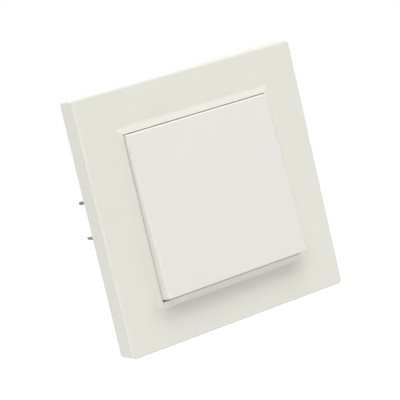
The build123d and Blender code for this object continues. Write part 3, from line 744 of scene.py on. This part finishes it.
def thread(bm, root, crest, low, high):
    """Helical thread about Z between two heights, open at both ends; lengths in millimetres."""
    middle = THREAD_PITCH / 2
    start = low - THREAD_PITCH
    turns = math.ceil((high - start) / THREAD_PITCH) + 1
    profile = [
        (root, 0.0), (root, ROOT_HALF), (crest, middle - CREST_HALF),
        (crest, middle + CREST_HALF), (root, THREAD_PITCH - ROOT_HALF), (root, THREAD_PITCH),
    ]
    points = [bm.verts.new(Vector((radius, 0, start + rise)) * MM) for radius, rise in profile]
    lines = [bm.edges.new(pair) for pair in zip(points, points[1:])]
    bmesh.ops.spin(
        bm, geom=points + lines, cent=(0, 0, 0), axis=(0, 0, 1),
        dvec=(0, 0, THREAD_PITCH / THREAD_STEPS * MM),
        angle=math.tau * turns, steps=THREAD_STEPS * turns,
    )
    bmesh.ops.remove_doubles(bm, verts=bm.verts, dist=WELD)
    for height, way in ((high, 1), (low, -1)):
        cut_across(bm, height, way, clear_outer=True)


print("thread pitch", THREAD_PITCH, "mm in", THREAD_STEPS, "steps a turn")

# %% [markdown]
# Claw screws
#
# Each claw is drawn in by a plated machine screw with a cross recess, turned from the front
# when the frame is off. The rod is the thread with a tapered start. The head is lathe work, and
# its recess starts as a grid of nine faces: the four corners are deleted, and the cross that is
# left is pushed in and narrowed. Extruding leaves the cross behind as a lid, which is deleted
# with its inner edges, or the fill would close the recess again. The flat ring round the cross
# is filled last.

# %% Make the claw screws
SIDES = {"left": -1, "right": 1}
SCREW_X = 23.2
SCREW_RADIUS, SCREW_ROOT, SCREW_NECK = 1.5, 1.2, 1.46
SCREW_SEAT, SCREW_TOP, SCREW_END = 1.0, 2.8, -19.0
SCREW_NECK_END, SCREW_THREAD_TOP = -0.6, -0.4
HEAD_FLAT = 2.2
HEAD_SIDE = [(2.42, 2.74), (2.55, 2.58), (2.6, 2.36), (2.6, 1.12), (2.54, 1.02), (2.44, 1.0)]
RECESS_HALF_LENGTH, RECESS_HALF_WIDTH = 1.7, 0.36
RECESS_DEPTH, RECESS_TAPER = 0.9, 0.62
GRID_HALF = 1.0
POINT_RADIUS, POINT_SLOPE = 1.05, 0.9


def cross_recess(bm, top):
    """Tapered cross pushed into a head whose flat top is at that height in millimetres."""
    sheet = bmesh.ops.create_grid(bm, x_segments=3, y_segments=3, size=GRID_HALF)["verts"]
    for vert in sheet:
        for axis in (0, 1):
            far = abs(vert.co[axis]) > GRID_HALF / 2
            reach = RECESS_HALF_LENGTH if far else RECESS_HALF_WIDTH
            vert.co[axis] = math.copysign(reach * MM, vert.co[axis])
        vert.co.z = top * MM
    faces = each_once(face for vert in sheet for face in vert.link_faces)
    edge = RECESS_HALF_WIDTH * MM
    corners = [f for f in faces if all(abs(c) > edge for c in f.calc_center_median().xy)]
    bmesh.ops.delete(bm, geom=corners, context="FACES")
    cross = [face for face in faces if face.is_valid]
    pushed = bmesh.ops.extrude_face_region(bm, geom=cross)["geom"]
    floor_verts = [item for item in pushed if isinstance(item, bmesh.types.BMVert)]
    bmesh.ops.translate(bm, verts=floor_verts, vec=(0, 0, -RECESS_DEPTH * MM))
    bmesh.ops.scale(bm, verts=floor_verts, vec=(RECESS_TAPER, RECESS_TAPER, 1))
    bmesh.ops.delete(bm, geom=cross, context="FACES")


def onto_screw_axis(bm, side):
    """Moves a bmesh from the Z axis to the axis of one side's screw, laid out of the wall."""
    bmesh.ops.translate(bm, verts=bm.verts, vec=(side * SCREW_X * MM, 0, 0))
    bmesh.ops.transform(bm, verts=bm.verts, matrix=LAID_OUT)
    return bm


def claw_screw(side):
    """Screw of one side, from its head in front of the ring to its point behind the nut."""
    bm = bmesh.new()
    thread(bm, SCREW_ROOT, SCREW_RADIUS, SCREW_END, SCREW_THREAD_TOP)
    for vert in bm.verts:
        limit = POINT_RADIUS * MM + (vert.co.z - SCREW_END * MM) * POINT_SLOPE
        if vert.co.xy.length > limit:
            vert.co.xy *= limit / vert.co.xy.length
    bmesh.ops.holes_fill(bm, edges=open_edges(bm), sides=0)
    under = [(SCREW_NECK, SCREW_SEAT), (SCREW_NECK, SCREW_NECK_END), (0, SCREW_NECK_END)]
    lathe(bm, [(HEAD_FLAT, SCREW_TOP)] + HEAD_SIDE + under)
    cross_recess(bm, SCREW_TOP)
    bmesh.ops.triangle_fill(bm, edges=open_edges(bm, SCREW_TOP), use_beauty=True)
    welded(bm)
    return onto_screw_axis(bm, side)


for word, side in SIDES.items():
    node, piece_name = f"{word}_claw_screw", f"{word}_threaded_screw"
    piece_from(claw_screw(side), piece_name, "plated_screw", node, "screw_steel", node)

# %% [markdown]
# Claw nuts
#
# A square pressed nut rides on each screw and pulls the claw. Its hole has a thread too, cut
# outwards so that it never meets the screw's own crests. The two flat faces are filled between
# the cut end of the thread and a square, and the square's edges are rounded as on a pressing.

# %% Make the claw nuts
NUT_HALF, NUT_THICK = 2.75, 1.8
NUT_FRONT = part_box("left_claw_nut")[0].y / MM
NUT_HOLE, NUT_GROOVE = 1.54, 1.78
NUT_ROUNDING = 0.28


def claw_nut(side):
    """Square nut of one side, with a threaded hole."""
    front, back = -NUT_FRONT, -NUT_FRONT - NUT_THICK
    corner_reach = NUT_HALF * math.sqrt(2) * MM
    square_on = Matrix.Rotation(math.radians(45), 4, "Z")
    bm = bmesh.new()
    thread(bm, NUT_GROOVE, NUT_HOLE, back, front)
    squares = []
    for height in (front, back):
        rim = open_edges(bm, height)
        corner = bmesh.ops.create_circle(bm, segments=4, radius=corner_reach)["verts"]
        lift = Matrix.Translation((0, 0, height * MM))
        bmesh.ops.transform(bm, verts=corner, matrix=lift @ square_on)
        square = each_once(edge for vert in corner for edge in vert.link_edges)
        bmesh.ops.triangle_fill(bm, edges=rim + square, use_beauty=True)
        squares += square
    walls = bmesh.ops.bridge_loops(bm, edges=squares)["faces"]
    outline = each_once(edge for face in walls for edge in face.edges)
    round_off(bm, outline, NUT_ROUNDING)
    return onto_screw_axis(bm, side)


for word, side in SIDES.items():
    node = f"{word}_claw_nut"
    piece_from(claw_nut(side), f"{word}_square_nut", "plated_screw", node, "screw_steel", node)

# %% [markdown]
# Tubular rivets
#
# Three rivets hold the cover, the ring and the base together. They are rolled tubes with a
# flange at the front, and a tool curls their other end over at the bottom of a pocket in the
# base. A single closed profile, spun all the way round, gives the flange, bore and curl at once.

# %% Make the rivets
RIVETS = [(0.0, 16.6), (12.0, -16.6), (-12.0, -16.6)]
RIVET_STEPS = 40
RIVET_PROFILE = [
    (0.85, 2.7), (0.9, 3.0), (1.05, 3.15), (1.25, 3.2), (1.8, 3.18), (2.08, 3.06), (2.2, 2.86),
    (2.2, 2.7), (2.12, 2.61), (2.0, 2.6), (1.25, 2.6), (1.25, -9.0), (1.9, -9.0), (2.1, -9.07),
    (2.2, -9.25), (2.14, -9.45), (1.95, -9.57), (1.65, -9.6), (1.3, -9.52), (1.02, -9.3),
    (0.88, -8.95), (0.85, -8.5),
]

rivets = bmesh.new()
for x, z in RIVETS:
    one = bmesh.new()
    lathe(one, RIVET_PROFILE, closed=True, steps=RIVET_STEPS)
    welded(one)
    bmesh.ops.translate(one, verts=one.verts, vec=Vector((x, z, 0)) * MM)
    bmesh.ops.transform(one, verts=one.verts, matrix=LAID_OUT)
    rivet_mesh = bpy.data.meshes.new("one_rivet")
    one.to_mesh(rivet_mesh)
    one.free()
    rivets.from_mesh(rivet_mesh)
    bpy.data.meshes.remove(rivet_mesh)
piece_from(rivets, "tubular_rivets", "plated_screw", "housing", "screw_steel", "rivets")

# %% [markdown]
# Plunger spring
#
# The spring that pushes the plunger is cold-coiled round wire with a close turn at each end, so
# that it stands square. A ring of vertices is spun three times: a close turn, the open turns and
# another close turn, each from where the last one ended. It leans with the rocker.

# %% Make the plunger spring
WIRE_RADIUS, WIRE_SEGMENTS, COIL_RADIUS = 0.22, 10, 1.66
SPRING_LOW, SPRING_HIGH = -0.28, 5.58
OPEN_TURNS, TURN_STEPS = 3.5, 32

close_rise = 2 * WIRE_RADIUS
open_rise = (SPRING_HIGH - SPRING_LOW - 2 * close_rise) / OPEN_TURNS
spring = bmesh.new()
ring = bmesh.ops.create_circle(
    spring, segments=WIRE_SEGMENTS, radius=WIRE_RADIUS * MM
)["verts"]
wire_start = Matrix.Translation(Vector((COIL_RADIUS, 0, SPRING_LOW)) * MM)
bmesh.ops.transform(spring, verts=ring, matrix=wire_start @ LAID_OUT)
section = ring + each_once(edge for vert in ring for edge in vert.link_edges)
for turns, rise in ((1, close_rise), (OPEN_TURNS, open_rise), (1, close_rise)):
    section = bmesh.ops.spin(
        spring, geom=section, cent=(0, 0, 0), axis=(0, 0, 1), angle=math.tau * turns,
        steps=round(TURN_STEPS * turns), dvec=(0, 0, rise / TURN_STEPS * MM),
    )["geom_last"]
bmesh.ops.remove_doubles(spring, verts=spring.verts, dist=WELD)
bmesh.ops.holes_fill(spring, edges=open_edges(spring), sides=0)
bmesh.ops.recalc_face_normals(spring, faces=spring.faces)
bmesh.ops.transform(spring, verts=spring.verts, matrix=REST_TILT @ LAID_OUT)
coil = piece_from(
    spring, "coiled_spring", "bright_spring", "rocker_unit", "spring_steel", "plunger_spring"
)
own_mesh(coil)

# %% [markdown]
# Pressed and moulded pieces with rounded edges
#
# Claws are pressed from thick sheet and the release levers are small mouldings, so their edges
# are rounded all over. Their solids have the right outline with square edges. A merged copy of
# each solid, with flat regions joined into single faces, takes a real bevel on every hard edge.

# %% Round the claws and the levers
HARD = math.radians(30)
CLAW_ROUNDING, LEVER_ROUNDING = 0.16, 0.14


def rounded_copy(solid, width):
    """Copy of a solid with its hard edges rounded by that many millimetres."""
    bm = merged_copy(solid)
    round_off(bm, [edge for edge in bm.edges if edge.calc_face_angle() > HARD], width)
    return bm


for solid in ("left_claw", "right_claw"):
    claw = rounded_copy(solid, CLAW_ROUNDING)
    piece_from(claw, f"{solid}_pressing", "dark_claw", solid, "claw_steel", solid)
for solid in LEVERS:
    lever = rounded_copy(solid, LEVER_ROUNDING)
    piece_from(lever, f"{solid}_moulding", "orange_lever", solid, "lever_plastic", solid)

# %% [markdown]
# Clamp springs
#
# In each terminal a leaf spring presses the wires onto the brass with two tongues. A pressed
# lever pushes those tongues back, and a rigid spring would be cut by the lever's nose. Here each
# spring is a merged copy of its solid with a few cuts across the leaf, between the bend of the
# leaf and the place where the lever's nose lies on it. The copy itself stays rigid.

# %% Cut the clamp springs across the leaf
LEAF_BEND_DEPTH, LEAF_BEND_HEIGHT = 20.7, 19.3
NOSE_FROM_BEND = 2.6
BEND_CUTS = 5
BEND_REACH = Vector((0, 0.62, -0.885))


def bending_spring(solid):
    """Copy of a clamp spring, cut between its leaf's bend and the lever's nose, and its side."""
    bm = merged_copy(solid)
    side = math.copysign(1, sum(corner.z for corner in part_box(solid)))
    for cut in range(1, BEND_CUTS + 1):
        cut_across(bm, side * (LEAF_BEND_HEIGHT - NOSE_FROM_BEND * cut / BEND_CUTS))
    return bm, side


for solid in CLAMP_SPRINGS:
    leaf, side = bending_spring(solid)
    lever = solid.replace("clamp_spring", "release_lever")
    piece = piece_from(leaf, f"{solid}_leaf", "bright_spring", None, "spring_steel", solid)
    reach = BEND_REACH * Vector((1, 1, side)) * MM
    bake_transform(piece)

# %% [markdown]
# Sizes
#
# Looks must not change the switch's dimensions. The box of the solids was kept at the start, and
# the box of what is seen now is measured, and its difference from the first is printed.

# %% Compare the boxes and finish
seen_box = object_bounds()
growth = [(seen - solid) / MM for a, b in zip(seen_box, cad_box) for seen, solid in zip(a, b)]
print("the dressed box differs from the solids by, in mm:", [round(v, 3) for v in growth])
